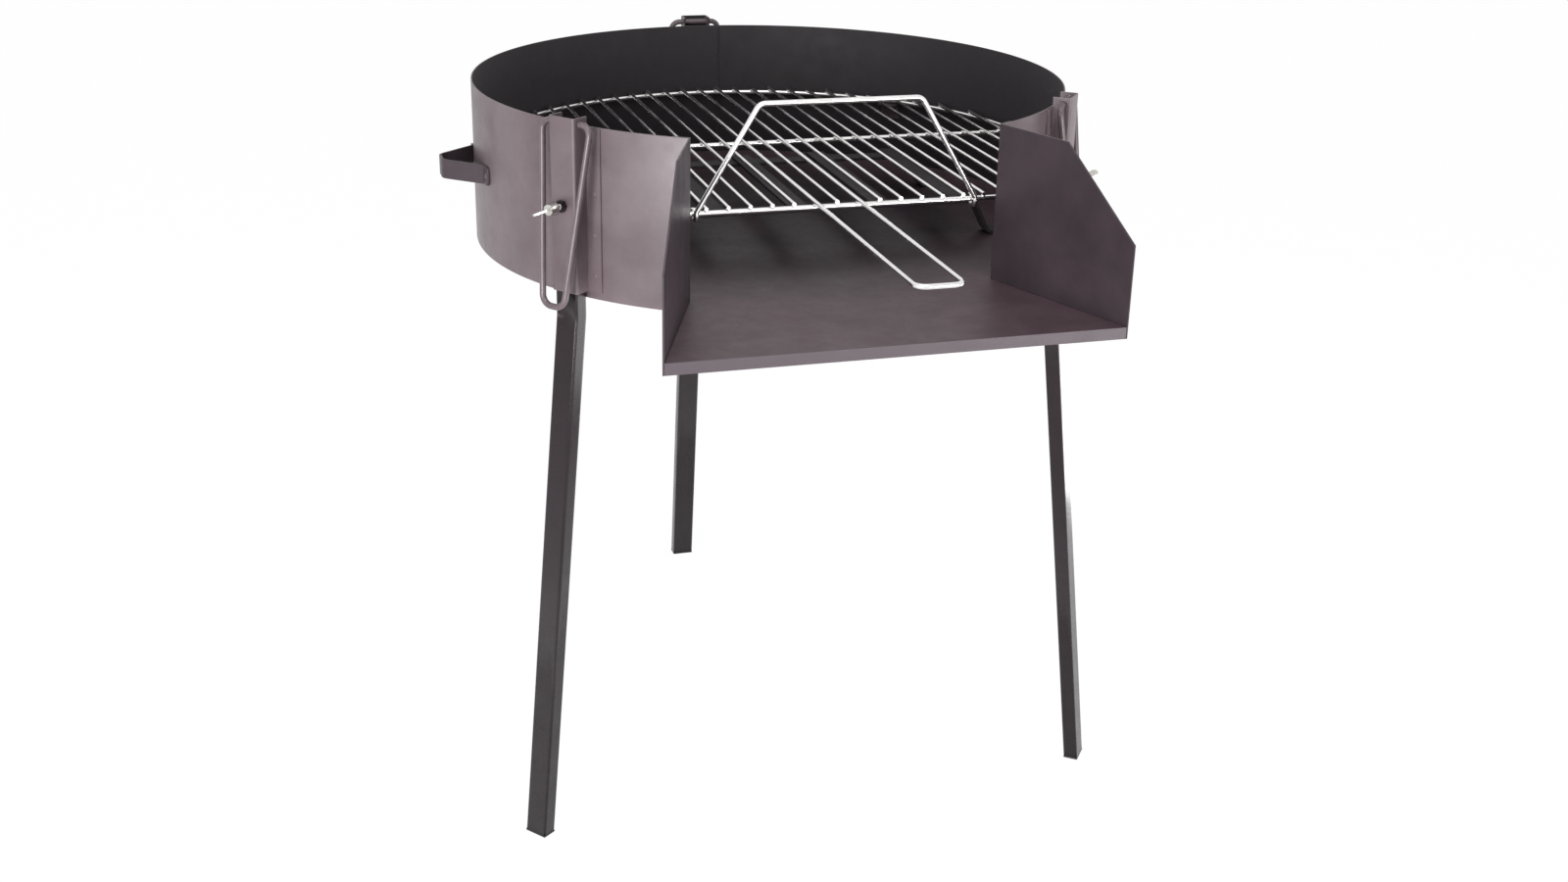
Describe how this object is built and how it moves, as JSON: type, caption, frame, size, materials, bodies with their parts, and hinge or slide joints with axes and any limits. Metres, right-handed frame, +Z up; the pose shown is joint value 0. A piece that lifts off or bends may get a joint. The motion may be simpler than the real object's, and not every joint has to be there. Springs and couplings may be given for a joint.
{
  "type": "charcoal grill",
  "caption": "Open round steel charcoal grill on splayed tube legs, with a front shelf between two wings, a lift-out wire cooking grate and swing-in wire pan supports.",
  "frame": {"origin": "centre of the whole grill's bounding box, on the floor it stands on", "axes": "+Z up, front shelf towards -Y, +X to the right seen from the front"},
  "size_m": [0.671, 0.8828, 0.7324],
  "materials": {
    "black_paint": "satin black stove paint on sheet steel, steel tube and welded nuts",
    "wire_paint": "satin black paint on round steel wire",
    "heat_paint": "matt black heat-resistant paint on flat steel bar",
    "chrome_wire": "bright chrome plate on steel wire",
    "zinc_plate": "bright zinc plate on the wing screws",
    "black_plastic": "moulded black plastic tube plug"
  },
  "bodies": {
    "drum": {"drum_wall": "black_paint", "floor_and_shelf": "black_paint", "left_wing": "black_paint", "right_wing": "black_paint", "left_bracket": "black_paint", "right_bracket": "black_paint", "rear_bracket": "black_paint", "left_leg": "black_paint", "right_leg": "black_paint", "rear_leg": "black_paint", "foot_plugs": "black_plastic", "clamp_nuts": "black_paint", "left_handle": "black_paint", "right_handle": "black_paint", "grate_lugs": "black_paint"},
    "left_pan_support": {"left_pan_support": "wire_paint"},
    "left_wing_screw": {"left_wing_screw": "zinc_plate"},
    "right_pan_support": {"right_pan_support": "wire_paint"},
    "right_wing_screw": {"right_wing_screw": "zinc_plate"},
    "rear_pan_support": {"rear_pan_support": "wire_paint"},
    "rear_wing_screw": {"rear_wing_screw": "zinc_plate"},
    "fire_grate": {"fire_grate_bars": "heat_paint", "fire_grate_front_cross": "heat_paint", "fire_grate_rear_cross": "heat_paint"},
    "cooking_grate": {"grate_frame": "chrome_wire", "grate_cross_wire": "chrome_wire", "grate_bars": "chrome_wire", "grate_handle_legs": "chrome_wire", "grate_handle_bow": "chrome_wire"},
    "bail": {"grate_bail": "chrome_wire"}
  },
  "joints": [
    {"name": "left_pan_support_hinge", "type": "hinge", "parent": "drum", "child": "left_pan_support", "pos_m": [-0.24362, -0.13083, 0.7105], "axis": [-0.6184, 0.7859, 0], "range_deg": [0, 258]},
    {"name": "left_wing_screw_turn", "type": "hinge", "parent": "drum", "child": "left_wing_screw", "pos_m": [-0.25823, -0.14233, 0.6355], "axis": [-0.7859, -0.6184, 0], "continuous": true},
    {"name": "right_pan_support_hinge", "type": "hinge", "parent": "drum", "child": "right_pan_support", "pos_m": [0.24362, -0.13083, 0.7105], "axis": [-0.6184, -0.7859, 0], "range_deg": [0, 258]},
    {"name": "right_wing_screw_turn", "type": "hinge", "parent": "drum", "child": "right_wing_screw", "pos_m": [0.25823, -0.14233, 0.6355], "axis": [0.7859, -0.6184, 0], "continuous": true},
    {"name": "rear_pan_support_hinge", "type": "hinge", "parent": "drum", "child": "rear_pan_support", "pos_m": [0, 0.37088, 0.7105], "axis": [1, 0, 0], "range_deg": [0, 258]},
    {"name": "rear_wing_screw_turn", "type": "hinge", "parent": "drum", "child": "rear_wing_screw", "pos_m": [0, 0.38948, 0.6355], "axis": [0, 1, 0], "continuous": true},
    {"name": "fire_grate_lift", "type": "slide", "parent": "drum", "child": "fire_grate", "axis": [0, 0, 1], "range_m": [0, 0.2]},
    {"name": "cooking_grate_lift", "type": "slide", "parent": "fire_grate", "child": "cooking_grate", "axis": [0, 0, 1], "range_m": [0, 0.2]},
    {"name": "bail_hinge", "type": "hinge", "parent": "cooking_grate", "child": "bail", "pos_m": [0, -0.17012, 0.6306], "axis": [1, 0, 0], "range_deg": [-60, 80]}
  ]
}
